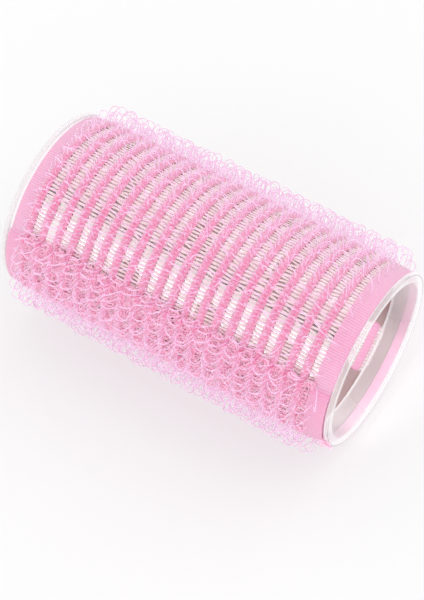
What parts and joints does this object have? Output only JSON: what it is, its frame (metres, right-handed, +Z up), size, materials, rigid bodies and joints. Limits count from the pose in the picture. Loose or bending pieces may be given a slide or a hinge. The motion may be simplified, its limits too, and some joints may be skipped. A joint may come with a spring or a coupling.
{
  "type": "self-grip hair roller",
  "caption": "Self-grip hair roller: perforated aluminium barrel with clear plastic end rings, wrapped in pink woven cloth with a pile of nylon hooks that hold hair.",
  "frame": {"origin": "on the floor under the middle of the roller, which lies on its side", "axes": "+X along the barrel's axis towards the right end, +Z up, -Y towards the side with the lap of the cloth"},
  "size_m": [0.06, 0.0367, 0.0355],
  "materials": {
    "aluminium_barrel": "bright rolled",
    "clear_plastic": "clear gloss",
    "hook_cloth": "woven nylon with a pile of hooks"
  },
  "bodies": {
    "root": {"barrel": "aluminium_barrel", "left_end_ring": "clear_plastic", "right_end_ring": "clear_plastic", "cloth_lap": "hook_cloth", "hook_cloth_01": "hook_cloth", "hook_cloth_02": "hook_cloth", "hook_cloth_03": "hook_cloth", "hook_cloth_04": "hook_cloth", "hook_cloth_05": "hook_cloth", "hook_cloth_06": "hook_cloth", "hook_cloth_07": "hook_cloth", "hook_cloth_08": "hook_cloth", "hook_cloth_09": "hook_cloth", "hook_cloth_10": "hook_cloth", "hook_cloth_11": "hook_cloth", "hook_cloth_12": "hook_cloth"}
  },
  "joints": []
}
